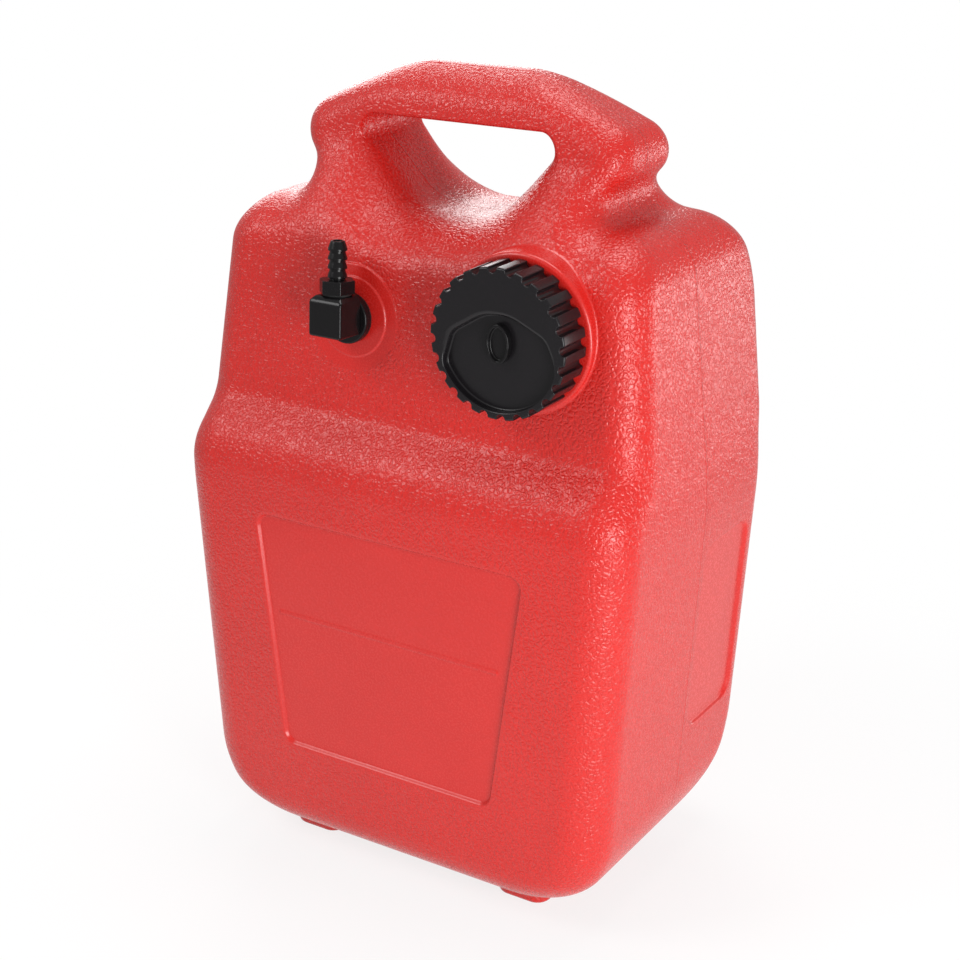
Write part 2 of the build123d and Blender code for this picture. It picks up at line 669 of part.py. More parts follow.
# ---------------------------------------------------------------- export
pieces = {
    "tank_body": tank_body,
    "filler_cap": filler_cap,
    "cap_gasket": cap_gasket,
    "splash_baffle": splash_baffle,
    "vent_knob": vent_knob,
    "vent_o_ring": vent_o_ring,
    "vent_seal_washer": vent_seal_washer,
    "vent_retaining_ring": vent_retaining_ring,
    "outlet_plug": outlet_plug,
    "plug_gasket": plug_gasket,
    "elbow_body": elbow_body,
    "elbow_o_ring": elbow_o_ring,
    "elbow_retaining_ring": elbow_retaining_ring,
    "barb_washer": barb_washer,
    "hose_barb": hose_barb,
    "pickup_tail": pickup_tail,
    "dip_tube": dip_tube,
    "dip_tube_clamp": dip_tube_clamp,
    "strainer_body": strainer_body,
    "strainer_mesh": strainer_mesh,
}
tank_box = tank_body.part.bounding_box()
to_middle = Location((0, -(tank_box.min.Y + tank_box.max.Y) / 2, 0))
for name, piece in pieces.items():
    placed = piece.part.moved(to_middle)
    placed.label = name
    export_step(placed, f"parts/{name}.step")
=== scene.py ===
"""Looks of the portable fuel tank: moulded skins, materials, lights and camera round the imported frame.

Shapes are worked out as distance fields in millimetres, with Y from the plane through the handle,
and written in metres.
"""

import json
import math

import bmesh
import bpy
import numpy as np
import openvdb
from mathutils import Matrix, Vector


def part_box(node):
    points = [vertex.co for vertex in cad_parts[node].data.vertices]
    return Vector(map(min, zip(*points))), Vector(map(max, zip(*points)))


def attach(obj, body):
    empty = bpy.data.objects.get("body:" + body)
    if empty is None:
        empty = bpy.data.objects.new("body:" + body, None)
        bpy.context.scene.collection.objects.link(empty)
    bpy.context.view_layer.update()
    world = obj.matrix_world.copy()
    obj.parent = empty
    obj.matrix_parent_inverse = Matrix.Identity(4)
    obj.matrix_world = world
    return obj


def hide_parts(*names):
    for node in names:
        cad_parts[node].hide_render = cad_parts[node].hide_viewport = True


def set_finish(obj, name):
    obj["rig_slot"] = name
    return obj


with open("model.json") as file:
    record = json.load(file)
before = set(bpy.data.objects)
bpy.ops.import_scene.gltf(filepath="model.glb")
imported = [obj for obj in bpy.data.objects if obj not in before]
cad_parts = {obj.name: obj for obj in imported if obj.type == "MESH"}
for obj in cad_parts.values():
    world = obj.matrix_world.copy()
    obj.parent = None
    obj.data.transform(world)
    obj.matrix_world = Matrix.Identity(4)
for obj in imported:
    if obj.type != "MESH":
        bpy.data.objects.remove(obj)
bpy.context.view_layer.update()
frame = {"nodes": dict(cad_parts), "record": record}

MM = 0.001
# Middle of the cap, and how far its face stands out from the plane through the handle
CAP_X, CAP_Z, CAP_FACE = 64.0, 305.6, 86.9
# From that plane to the frame's origin, along Y
SHIFT_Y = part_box("filler_cap")[0].y / MM + CAP_FACE
FAR = 1e6
TINY = 1e-6


# ---------------------------------------------------------------- distance fields
def smooth_max(a, b, radius):
    """Both at once: the crossing of two solids, with a round edge."""
    over_a, over_b = a + radius, b + radius
    return (
        np.minimum(np.maximum(over_a, over_b), 0.0)
        + np.hypot(np.maximum(over_a, 0.0), np.maximum(over_b, 0.0))
        - radius
    )


def smooth_min(a, b, radius):
    """Either: the union of two solids, with a round corner between them."""
    return -smooth_max(-a, -b, radius)


def ease(t):
    """0 below 0, 1 above 1, smooth between."""
    t = np.clip(t, 0.0, 1.0)
    return t * t * (3.0 - 2.0 * t)


class Outline:
    """Closed outline of straight runs and round corners; calling it gives the signed distance.

    measure gives as well how far the nearest edge faces upwards, from -1 to 1.
    """

    def __init__(self, points, radii):
        points = np.array(points, float)
        area = sum(p[0] * q[1] - p[1] * q[0] for p, q in zip(points, np.roll(points, -1, 0)))
        if area < 0:
            points, radii = points[::-1], list(radii)[::-1]
        count = len(points)
        entries, exits, self.arcs = [], [], []
        for i in range(count):
            corner, radius = points[i], radii[i]
            back, ahead = points[i - 1] - corner, points[(i + 1) % count] - corner
            back, ahead = back / np.linalg.norm(back), ahead / np.linalg.norm(ahead)
            half = math.acos(float(np.clip(back @ ahead, -1, 1))) / 2
            reach = radius / math.tan(half)
            middle = (back + ahead) / np.linalg.norm(back + ahead)
            convex = -1.0 if (-back[0] * ahead[1] + back[1] * ahead[0]) < 0 else 1.0
            entries.append(corner + back * reach)
            exits.append(corner + ahead * reach)
            centre = corner + middle * radius / math.sin(half)
            self.arcs.append((centre, radius, middle, math.sin(half), convex))
        self.runs = [(exits[i], entries[(i + 1) % count]) for i in range(count)]

    def __call__(self, u, v):
        return self.measure(u, v)[0]

    def measure(self, u, v):
        best = np.full(np.broadcast(u, v).shape, FAR)
        signed, lift = best.copy(), 0.0 * best
        for start, end in self.runs:
            along = end - start
            length = np.linalg.norm(along)
            along = along / length
            du, dv = u - start[0], v - start[1]
            place = np.clip(du * along[0] + dv * along[1], 0.0, length)
            gap = np.hypot(du - place * along[0], dv - place * along[1])
            side = np.where(along[0] * dv - along[1] * du > 0, -1.0, 1.0)
            near = gap < best
            best = np.where(near, gap, best)
            signed = np.where(near, side * gap, signed)
            lift = np.where(near, -along[0], lift)
        for centre, radius, middle, cosine, convex in self.arcs:
            du, dv = u - centre[0], v - centre[1]
            spread = np.hypot(du, dv)
            gap = np.abs(spread - radius)
            within = -(du * middle[0] + dv * middle[1]) >= cosine * spread
            near = within & (gap <= best)
            best = np.where(near, gap, best)
            signed = np.where(near, convex * (spread - radius), signed)
            lift = np.where(near, convex * dv / np.maximum(spread, TINY), lift)
        return signed, lift


def rounded_box(u, v, half_u, half_v, radius):
    """Signed distance to a rectangle with round corners, about the origin."""
    qu, qv = np.abs(u) - half_u + radius, np.abs(v) - half_v + radius
    outside = np.hypot(np.maximum(qu, 0.0), np.maximum(qv, 0.0))
    return outside + np.minimum(np.maximum(qu, qv), 0.0) - radius


def gradient(field, points, step):
    """Slope of a field at many points, one row each."""
    slope = np.empty_like(points)
    for axis in range(3):
        ahead, behind = points.copy(), points.copy()
        ahead[:, axis] += step
        behind[:, axis] -= step
        slope[:, axis] = (field(*ahead.T) - field(*behind.T)) / (2 * step)
    return slope


SETTLE_STEP, LEAST_SLOPE, NORMAL_STEP = 0.03, 0.05, 0.06


def settle(field, points, rounds, limit):
    """Moves points onto the surface where the field is nought."""
    for _ in range(rounds):
        slope = gradient(field, points, SETTLE_STEP)
        steep = np.maximum((slope**2).sum(1), LEAST_SLOPE)
        move = np.clip(field(*points.T) / steep, -limit, limit)
        points = points - move[:, None] * slope
    return points


def skin(name, field, low, high, voxel, refine=None, passes=0, grain=None):
    """Mesh of the surface where a field is nought, with the field's own normals.

    The mesh starts with faces of voxel's size between low and high. Each pass halves the faces that
    refine marks, and grain gives each point's value for the attribute of that name.
    """
    axes = [np.arange(a - 2 * voxel, b + 2.5 * voxel, voxel) for a, b in zip(low, high)]
    values = field(axes[0][:, None, None], axes[1][None, :, None], axes[2][None, None, :])
    band = 3 * voxel
    grid = openvdb.FloatGrid(band)
    grid.copyFromArray(np.clip(values, -band, band).astype(np.float32))
    points, quads = grid.convertToQuads(isovalue=0.0)
    points = np.array(points, float) * voxel + np.array([axis[0] for axis in axes])
    quads = np.array(quads, int)
    points = settle(field, points, 3, 0.7 * voxel)
    a, b, c, d = (points[quads[:, k]] for k in range(4))
    volume = (np.cross(b - a, c - a) * a).sum() + (np.cross(c - a, d - a) * a).sum()
    if volume < 0:
        quads = quads[:, ::-1]
    mesh = bpy.data.meshes.new(name)
    mesh.vertices.add(len(points))
    mesh.vertices.foreach_set("co", points.ravel())
    mesh.loops.add(quads.size)
    mesh.loops.foreach_set("vertex_index", quads.ravel())
    mesh.polygons.add(len(quads))
    mesh.polygons.foreach_set("loop_start", np.arange(0, quads.size, 4))
    mesh.update(calc_edges=True)
    for level in range(passes):
        bm = bmesh.new()
        bm.from_mesh(mesh)
        bm.verts.ensure_lookup_table()
        marked = refine(*points.T, level)
        edges = {e for f in bm.faces if any(marked[v.index] for v in f.verts) for e in f.edges}
        edges = sorted(edges, key=lambda e: e.index)
        bmesh.ops.subdivide_edges(bm, edges=edges, cuts=1, use_grid_fill=True)
        bm.to_mesh(mesh)
        bm.free()
        points = np.empty(len(mesh.vertices) * 3)
        mesh.vertices.foreach_get("co", points)
        points = settle(field, points.reshape(-1, 3), 2, 0.5 * voxel)
        mesh.vertices.foreach_set("co", points.ravel())
    points = settle(field, points, 2, 0.1)
    normals = gradient(field, points, NORMAL_STEP)
    normals /= np.maximum(np.linalg.norm(normals, axis=1), TINY)[:, None]
    if grain is not None:
        layer = mesh.attributes.new("grain", "FLOAT", "POINT")
        layer.data.foreach_set("value", grain(*points.T).astype(np.float32))
    placed = (points + np.array([0.0, SHIFT_Y, 0.0])) * MM
    mesh.vertices.foreach_set("co", placed.ravel())
    mesh.update()
    mesh.validate()
    mesh.shade_smooth()
    mesh.normals_split_custom_set_from_vertices([tuple(n) for n in normals])
    piece = bpy.data.objects.new(name, mesh)
    bpy.context.scene.collection.objects.link(piece)
    return piece


def dress(piece, node, body, finish):
    """Puts a piece in the place of a CAD node."""
    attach(piece, body)
    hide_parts(node)
    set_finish(piece, finish)


# ---------------------------------------------------------------- tank
# Right half of the outline seen from the front, from the base up, and its corners' radii
FRONT_HALF = [
    (118.5, 3.0),
    (133.0, 215.6),
    (119.5, 346.6),
    (71.5, 351.6),
    (104.0, 386.1),
    (40.5, 416.3),
]
FRONT_RADII = [54.0, 200.0, 25.0, 11.0, 15.5, 58.0]
front_outline = Outline(
    FRONT_HALF + [(-x, z) for x, z in reversed(FRONT_HALF)], FRONT_RADII + FRONT_RADII[::-1]
)
# Outline seen from the side, from the back of the base over the handle to the front of the base
side_outline = Outline(
    [
        (74.0, 3.0),
        (76.0, 327.1),
        (38.0, 368.1),
        (23.5, 416.3),
        (-18.5, 416.3),
        (-26.0, 375.6),
        (-58.5, 336.1),
        (-68.5, 247.6),
        (-89.5, 226.6),
        (-91.0, 3.0),
    ],
    [72.0, 65.0, 34.0, 24.5, 24.5, 26.0, 37.0, 13.5, 34.0, 29.0],
)
HAND_LOW, HAND_TOP = 345.6, 391.1
hand_outline = Outline(
    [(67.0, HAND_TOP), (-67.0, HAND_TOP), (-22.0, HAND_LOW), (22.0, HAND_LOW)], [8.0, 8.0, 34.0, 34.0]
)
panel_outline = Outline([(80.5, 193.6), (-80.5, 193.6), (-66.0, 64.6), (62.0, 64.6)], [7.0] * 4)
PANEL_DEPTH, LABEL_DEPTH, SINK_WIDTH, SINK_START = 1.9, 1.5, 2.0, 0.5
# Round edge between front and sides: at the base, at the back of it, over the ledge and at the handle
EDGE_BASE, EDGE_BACK_LESS, EDGE_UPPER, EDGE_HANDLE = 22.4, 2.8, 18.9, 14.8
LEDGE_Z, SHOULDER_Z = 226.6, 331.6
HAND_ROUND_LOW, HAND_ROUND_LESS = 26.5, 24.0
FOOT_X, FOOT_Y, FOOT_HALF_X, FOOT_HALF_Y, FOOT_CORNER, FOOT_TOP = 66.0, -24.2, 15.0, 44.2, 8.0, 14.0
BOSS_RADIUS, BOSS_FACE = 38.8, 66.4
NECK_RADIUS, NECK_BORE, NECK_FACE = 25.6, 21.5, 78.0
THREAD_DEPTH, THREAD_START, THREAD_PITCH, THREAD_TURNS = 1.9, 69.2, 5.0, 1.5
PORT_X, PORT_Z, PORT_FACE = -34.5, 298.6, 64.0
OUTER_RING, INNER_RING, SOCKET_RADIUS, SOCKET_DEPTH = 26.5, 20.2, 10.0, 17.0
TILT = math.radians(4.0)


def from_port(x, y, z):
    """Distance out along the outlet's axis, and sideways and upwards from it."""
    out = -(y + PORT_FACE) * math.cos(TILT) + (z - PORT_Z) * math.sin(TILT)
    up = (z - PORT_Z) * math.cos(TILT) + (y + PORT_FACE) * math.sin(TILT)
    return out, x - PORT_X, up


def label_outline(y, z):
    """Sunk panel on each side."""
    return rounded_box(y - 29.0, z - 135.1, 25.0, 52.5, 10.0)


def divider_gap(x, z):
    """Distance from the line across the front panel."""
    return np.hypot(np.maximum(np.abs(x + 1.0) - 66.0, 0.0), z - 139.6)


def foot_outline(x, y):
    return rounded_box(np.abs(x) - FOOT_X, y - FOOT_Y, FOOT_HALF_X, FOOT_HALF_Y, FOOT_CORNER)


def thread_gap(radial, height, angle, radius, depth, start, pitch, turns):
    """Signed distance to a helical ridge on a cylinder; height runs along its axis."""
    turn = np.clip(np.round((height - start) / pitch - angle / (2 * math.pi)), -1, math.ceil(turns))
    place = turn + angle / (2 * math.pi)
    place = np.clip(place, 0.0, turns)
    along = np.abs(height - start - place * pitch)
    half = 1.2 - 0.6 * np.clip((radial - radius) / depth, 0.0, 1.0)
    return smooth_max(along - half, radial - radius - depth, 0.3)


def tank_field(x, y, z):
    front, front_lift = front_outline.measure(x, z)
    side, side_lift = side_outline.measure(y, z)
    hand = hand_outline(x, z)
    edge = EDGE_BASE - EDGE_BACK_LESS * ease((y + 15.0) / 30.0)
    edge = edge + (EDGE_UPPER - EDGE_BASE) * ease((z - LEDGE_Z) / 21.0)
    edge = edge + (EDGE_HANDLE - edge) * ease((z - SHOULDER_Z) / 50.0)
    # No round edge between faces that look the same way, up or down
    alike = np.maximum(front_lift * side_lift, 0.0) ** 4
    edge = edge * np.sqrt(np.clip(1.0 - alike, 0.0004, 1.0))
    body = smooth_max(front, side, edge)
    body = smooth_max(body, -hand, HAND_ROUND_LOW - HAND_ROUND_LESS * ease((z - HAND_LOW) / 45.0))
    # Sunk panels
    sunk = PANEL_DEPTH * ease((SINK_START - panel_outline(x, z)) / SINK_WIDTH)
    sunk = sunk * (1.0 - 0.3 * ease((1.6 - divider_gap(x, z)) / 1.2))
    body = body + sunk * ease((-y - 40.0) / 20.0)
    sunk = LABEL_DEPTH * ease((SINK_START - label_outline(y, z)) / SINK_WIDTH)
    body = body + sunk * ease((np.abs(x) - 60.0) / 30.0)
    # Feet
    foot = smooth_max(smooth_max(foot_outline(x, y), -z, 2.5), z - FOOT_TOP, 1.0)
    body = smooth_min(body, foot, 2.0)
    # Filler boss
    radial = np.hypot(x - CAP_X, z - CAP_Z)
    boss = np.maximum(smooth_max(radial - BOSS_RADIUS, -y - BOSS_FACE, 1.8), y + 10.0)
    body = smooth_min(body, boss, 1.2)
    # Low rings round the outlet
    out, across, up = from_port(x, y, z)
    around = np.hypot(across, up)
    for ring, face in ((OUTER_RING, -0.8), (INNER_RING, 0.0)):
        step = np.maximum(smooth_max(around - ring, out - face, 0.6), -out - 13.0)
        body = smooth_min(body, step, 0.6)
    # Threaded neck and the outlet's socket
    neck = np.maximum(smooth_max(radial - NECK_RADIUS, -y - NECK_FACE, 0.7), y + 50.0)
    angle = np.arctan2(z - CAP_Z, x - CAP_X) % (2 * math.pi)
    ridge = thread_gap(
        radial, -y, angle, NECK_RADIUS, THREAD_DEPTH, THREAD_START, THREAD_PITCH, THREAD_TURNS
    )
    neck = smooth_min(neck, np.maximum(ridge, 22.0 - radial), 0.2)
    body = smooth_min(body, neck, 0.8)
    body = smooth_max(body, -np.maximum(radial - NECK_BORE, y + 45.0), 0.6)
    return smooth_max(body, -np.maximum(around - SOCKET_RADIUS, -out - SOCKET_DEPTH), 0.3)


def tank_refine(x, y, z, level):
    """Where the tank's mesh needs smaller faces."""
    reach = (3.0, 1.8)[level]
    radial = np.hypot(x - CAP_X, z - CAP_Z)
    _, across, up = from_port(x, y, z)
    around = np.hypot(across, up)
    panel = panel_outline(x, z)
    near_panel = (y < -78) & (((panel < reach) & (panel > -reach - 1)) | (divider_gap(x, z) < reach))
    near_label = (np.abs(x) > 100) & (np.abs(label_outline(y, z) + 0.5) < reach)
    near_foot = (z < 9) & (np.abs(foot_outline(x, y)) < reach + 2)
    near_boss = (y < -40) & ((np.abs(radial - BOSS_RADIUS) < reach + 1) | (radial < NECK_RADIUS + 4))
    steps = (OUTER_RING, INNER_RING, SOCKET_RADIUS)
    near_ring = (y < -50) & (np.min([np.abs(around - step) for step in steps], axis=0) < reach)
    near_hand = (np.abs(hand_outline(x, z)) < 4.0) & (z > 370.0) & (level == 0)
    return near_panel | near_label | near_foot | near_boss | near_ring | near_hand


def tank_grain(x, y, z):
    """How strongly the moulded grain shows: none in the panels, on the rings and on the boss."""
    fade = 2.5
    panel = np.where(y < -70, ease(panel_outline(x, z) / fade), 1.0)
    label = np.where(np.abs(x) > 90, ease(label_outline(y, z) / fade), 1.0)
    radial = np.hypot(x - CAP_X, z - CAP_Z)
    boss = np.where(y < -40, ease((radial - BOSS_RADIUS + 0.5) / fade), 1.0)
    _, across, up = from_port(x, y, z)
    ring = np.where(y < -40, ease((np.hypot(across, up) - OUTER_RING + 1.0) / fade), 1.0)
    return panel * label * boss * ring


tank = skin(
    "tank_skin",
    tank_field,
    low=(-134.0, -92.0, -1.0),
    high=(134.0, 80.0, 418.0),
    voxel=2.0,
    refine=tank_refine,
    passes=2,
    grain=tank_grain,
)
dress(tank, "tank_body", "tank", "tank_red")

# ---------------------------------------------------------------- filler cap
CAP_RADIUS, CAP_BACK, POCKET_FLOOR = 36.3, 67.0, 82.4
TEETH, GROOVE_RADIUS = 24, 2.3
CAP_TURN = math.radians(3.7)
CROWN_BACK, CAP_BORE, HUB_RADIUS, HUB_BORE = 80.0, 27.95, 8.0, 4.05
BAFFLE_RING_OUTER, BAFFLE_RING_INNER = 19.15, 17.75
arch_outline = Outline(
    [(40.7, -36.3), (25.2, 3.7), (7.0, 13.4), (-7.0, 13.4), (-25.2, 3.7), (-40.7, -36.3)],
    [9.0, 9.0, 22.0, 22.0, 9.0, 9.0],
)


def cap_field(x, y, z):
    across, up, out = x - CAP_X, z - CAP_Z, -y
    radial, angle = np.hypot(across, up), np.arctan2(up, across)
    body = smooth_max(radial - CAP_RADIUS, out - CAP_FACE, 1.1)
    body = smooth_max(body, CAP_BACK - out, 0.5)
    # U-shaped grooves between the teeth
    step = 2 * math.pi / TEETH
    off = (angle - CAP_TURN + step / 2) % step - step / 2
    inwards = np.minimum(radial * np.cos(off) - (CAP_RADIUS - 0.5), 0.0)
    groove = np.hypot(radial * np.sin(off), inwards) - GROOVE_RADIUS
    body = smooth_max(body, -groove, 0.45)
    # Finger pocket under the raised arch
    tilted_across = across * math.cos(CAP_TURN) + up * math.sin(CAP_TURN)
    tilted_up = up * math.cos(CAP_TURN) - across * math.sin(CAP_TURN)
    pocket = smooth_max(arch_outline(tilted_across, tilted_up), radial - 32.4, 2.0)
    lip = 0.8 + 2.0 * ease((tilted_up + 12.0) / 10.0)
    body = smooth_max(body, -smooth_max(pocket, POCKET_FLOOR - out, 0.9), lip)
    # Socket, baffle ring and the vent screw's hub
    socket = np.maximum(radial - CAP_BORE, out - CROWN_BACK)
    body = smooth_max(body, -socket, 0.3)
    ring = np.maximum(radial - BAFFLE_RING_OUTER, BAFFLE_RING_INNER - radial)
    ring = np.maximum(ring, CROWN_BACK - 3.5 - out)
    hub = np.maximum(radial - HUB_RADIUS, CROWN_BACK - 9.0 - out)
    inner = np.maximum(np.minimum(ring, hub), out - CROWN_BACK - 0.5)
    body = smooth_min(body, inner, 0.2)
    return smooth_max(body, HUB_BORE - radial, 0.1)


def cap_refine(x, y, z, _level):
    """The teeth and the face."""
    return (np.hypot(x - CAP_X, z - CAP_Z) > 31.5) | (-y > 81.5)


cap = skin(
    "cap_shell",
    cap_field,
    low=(27.0, -87.5, 268.6),
    high=(101.0, -66.0, 342.6),
    voxel=0.8,
    refine=cap_refine,
    passes=1,
)
dress(cap, "filler_cap", "cap", "cap_black")


def oval(across, up, half_across, half_up):
    """About the signed distance to an oval round the origin."""
    scaled = np.hypot(across / half_across, up / half_up)
    slope = np.hypot(across / half_across**2, up / half_up**2)
    return (scaled - 1.0) * scaled / np.maximum(slope, TINY)


def knob_field(x, y, z):
    across, up, out = x - CAP_X, z - CAP_Z, -y
    radial = np.hypot(across, up)
    loop = smooth_max(oval(across, up, 6.2, 9.5), out - 86.2, 0.5)
    loop = smooth_max(loop, 82.8 - out, 0.2)
    hollow = smooth_max(oval(across, up, 4.7, 8.0), 84.2 - out, 0.6)
    loop = smooth_max(loop, -hollow, 0.4)
    # Stem with grooves for the o-ring and the retaining ring, and the air's way through it
    stem = np.maximum(np.maximum(radial - 4.0, 67.2 - out), out - 83.5)
    seal_groove = np.maximum(np.abs(out - 75.5) - 0.85, 2.62 - radial)
    clip_groove = np.maximum(np.abs(out - 69.1) - 0.5, 3.1 - radial)
    stem = np.maximum(np.maximum(stem, -seal_groove), -clip_groove)
    body = smooth_min(loop, stem, 0.3)
    return np.maximum(body, -np.maximum(radial - 1.2, out - 82.4))


knob = skin(
    "vent_knob_shell", knob_field, low=(57.0, -87.0, 295.6), high=(71.0, -66.5, 315.6), voxel=0.4
)
dress(knob, "vent_knob", "vent", "fitting_black")


# ---------------------------------------------------------------- outlet
def collar_field(x, y, z):
    """Round collar with the plug that goes into the tank's socket."""
    out, across, up = from_port(x, y, z)
    around = np.hypot(across, up)
    body = smooth_max(smooth_max(around - 12.8, out - 5.6, 0.9), 1.2 - out, 0.3)
    plug = np.maximum(np.maximum(around - 9.9, -13.0 - out), out - 3.0)
    body = smooth_min(body, plug, 0.1)
    body = smooth_max(body, 6.05 - around, 0.3)
    return np.maximum(body, -np.maximum(around - 8.0, out + 7.5))


# The elbow's block: its face, its top, and how far out the barb's axis stands
BLOCK_FACE, BLOCK_TOP, BLOCK_HALF, RISER_OUT = 22.4, 13.0, 9.6, 12.0
HALF_ROOT = 0.7071


def block_field(x, y, z):
    out, across, up = from_port(x, y, z)
    around = np.hypot(across, up)
    plan = rounded_box(across, up - 3.0, BLOCK_HALF, 10.0, 1.6)
    slope = np.abs(across) + up - (BLOCK_HALF + BLOCK_TOP - 2.5) - 0.4
    plan = np.maximum(plan, smooth_max(slope, up - BLOCK_TOP, 0.4))
    body = smooth_max(smooth_max(plan, out - BLOCK_FACE, 1.3), 5.9 - out, 0.4)
    body = smooth_max(body, (out + up - (BLOCK_FACE + BLOCK_TOP - 2.6)) * HALF_ROOT, 1.0)
    # Spigot with grooves for the o-ring and the retaining ring
    spigot = np.maximum(np.maximum(around - 6.0, -10.9 - out), out - 8.0)
    seal_groove = np.maximum(np.abs(out + 1.0) - 0.85, 4.6 - around)
    clip_groove = np.maximum(np.abs(out + 8.2) - 0.5, 5.1 - around)
    spigot = np.maximum(np.maximum(spigot, -seal_groove), -clip_groove)
    body = smooth_min(body, spigot, 0.1)
    # Fuel's way through, and the socket for the barb
    body = np.maximum(body, -np.maximum(around - 2.6, out - RISER_OUT))
    riser = np.hypot(across, out - RISER_OUT)
    body = np.maximum(body, -np.maximum(riser - 3.0, -up))
    return smooth_max(body, -np.maximum(riser - 5.55, 8.0 - up), 0.15)


HEX_TURN, HEX_CORNER, HEX_LOW, HEX_TOP = math.radians(16.0), 9.25, 14.0, 20.6
BARB_TOP, BARB_CORE, BARB_RIDGE, BARB_STEP = 39.6, 3.9, 4.75, 4.4


def barb_field(x, y, z):
    out, across, up = from_port(x, y, z)
    depth = RISER_OUT - out
    riser = np.hypot(across, depth)
    # Hexagon, chamfered at its top, on the shank that goes into the elbow
    turned_a = across * math.cos(HEX_TURN) + depth * math.sin(HEX_TURN)
    turned_b = depth * math.cos(HEX_TURN) - across * math.sin(HEX_TURN)
    flat = HEX_CORNER * math.cos(math.pi / 6)
    sides = [
        np.abs(turned_a * math.cos(a) + turned_b * math.sin(a)) - flat
        for a in (math.pi / 6, math.pi / 2, 5 * math.pi / 6)
    ]
    nut = smooth_max(smooth_max(sides[0], sides[1], 0.35), sides[2], 0.35)
    nut = smooth_max(smooth_max(nut, up - HEX_TOP, 0.5), HEX_LOW - up, 0.3)
    nut = smooth_max(nut, (riser + (up - HEX_TOP) * 1.7 - 8.9) * 0.5, 0.3)
    shank = np.maximum(np.maximum(riser - 5.5, 8.0 - up), up - 15.0)
    body = np.minimum(nut, shank)
    # Four ridges that taper upwards, and a tapered tip
    profile = BARB_CORE + 0.0 * up
    for ring in range(4):
        low = HEX_TOP + BARB_STEP * ring + 1.0
        slope = BARB_RIDGE - 0.85 * np.clip((up - low - 0.9) / 2.5, 0.0, 1.0)
        profile = np.where(up >= low, slope, profile)
    tip = BARB_TOP - 1.4
    profile = np.where(up > tip, BARB_CORE - 0.5 * (up - tip) / 1.4, profile)
    tail = smooth_max(riser - profile, up - BARB_TOP, 0.5)
    tail = np.maximum(tail * 0.8, 19.0 - up)
    body = smooth_min(body, tail, 0.3)
    return smooth_max(body, -np.maximum(riser - 2.2, 7.0 - up), 0.35)


collar = skin("outlet_collar", collar_field, low=(-48, -71, 283.6), high=(-21, -49, 313.6), voxel=0.5)
block = skin("elbow_block", block_field, low=(-45, -88, 289.6), high=(-24, -52, 315.6), voxel=0.45)
barb = skin("barb_shell", barb_field, low=(-45, -86, 304.6), high=(-24, -64, 340.6), voxel=0.35)
dress(collar, "outlet_plug", "tank", "fitting_black")
dress(block, "elbow_body", "elbow", "fitting_black")
dress(barb, "hose_barb", "elbow", "fitting_black")


# ---------------------------------------------------------------- materials
def material(name):
    made = bpy.data.materials.new(name)
    made.use_nodes = True
    return made, made.node_tree.nodes, made.node_tree.links, made.node_tree.nodes["Principled BSDF"]


def linear(*channels):
    """Colour written as 0 to 255 values, for a socket."""
    shares = [c / 255 for c in channels]
    return tuple(c / 12.92 if c <= 0.04045 else ((c + 0.055) / 1.055) ** 2.4 for c in shares) + (1.0,)


def add(nodes, kind, **values):
    """Node with its properties and sockets set by name, where _ stands for a space."""
    node = nodes.new(kind)
    for key, value in values.items():
        if hasattr(node, key):
            setattr(node, key, value)
        else:
            node.inputs[key.replace("_", " ")].default_value = value
    return node


def bump_over(nodes, links, height, strength, distance, below=None):
    """Bump node for a height, on top of another one's normals."""
    bump = add(nodes, "ShaderNodeBump", Strength=strength, Distance=distance)
    links.new(height, bump.inputs["Height"])
    if below is not None:
        links.new(below.outputs["Normal"], bump.inputs["Normal"])
    return bump


def noise(nodes, links, place, scale, detail, roughness):
    texture = add(nodes, "ShaderNodeTexNoise", Scale=scale, Detail=detail, Roughness=roughness)
    links.new(place.outputs["Object"], texture.inputs["Vector"])
    return texture


def vary_colour(nodes, links, shader, factor, first, second):
    tint = add(nodes, "ShaderNodeMix", data_type="RGBA")
    tint.inputs[6].default_value = first
    tint.inputs[7].default_value = second
    links.new(factor, tint.inputs["Factor"])
    links.new(tint.outputs[2], shader.inputs["Base Color"])


def vary_roughness(nodes, links, shader, factor, low, high):
    rough = add(nodes, "ShaderNodeMapRange", To_Min=low, To_Max=high)
    links.new(factor, rough.inputs["Value"])
    links.new(rough.outputs["Result"], shader.inputs["Roughness"])


def pebbled(nodes, links, place, fine):
    """Height of the moulded grain: pebbles with narrow valleys between them, and fine wrinkles."""
    warp = noise(nodes, links, place, 240.0, 2.0, 0.55)
    bend = add(nodes, "ShaderNodeVectorMath", operation="MULTIPLY_ADD")
    bend.inputs[1].default_value = (0.003, 0.003, 0.003)
    links.new(warp.outputs["Color"], bend.inputs[0])
    links.new(place.outputs["Object"], bend.inputs[2])
    cells = add(nodes, "ShaderNodeTexVoronoi", feature="DISTANCE_TO_EDGE", Scale=400.0)
    links.new(bend.outputs["Vector"], cells.inputs["Vector"])
    pebble = add(nodes, "ShaderNodeMapRange", interpolation_type="SMOOTHSTEP", From_Max=0.3)
    links.new(cells.outputs["Distance"], pebble.inputs["Value"])
    height = add(nodes, "ShaderNodeMath", operation="MULTIPLY_ADD")
    height.inputs[1].default_value = 0.7
    links.new(fine.outputs["Fac"], height.inputs[0])
    links.new(pebble.outputs["Result"], height.inputs[2])
    grain = add(nodes, "ShaderNodeAttribute", attribute_name="grain")
    masked = add(nodes, "ShaderNodeMath", operation="MULTIPLY")
    links.new(height.outputs[0], masked.inputs[0])
    links.new(grain.outputs["Fac"], masked.inputs[1])
    return masked.outputs[0]


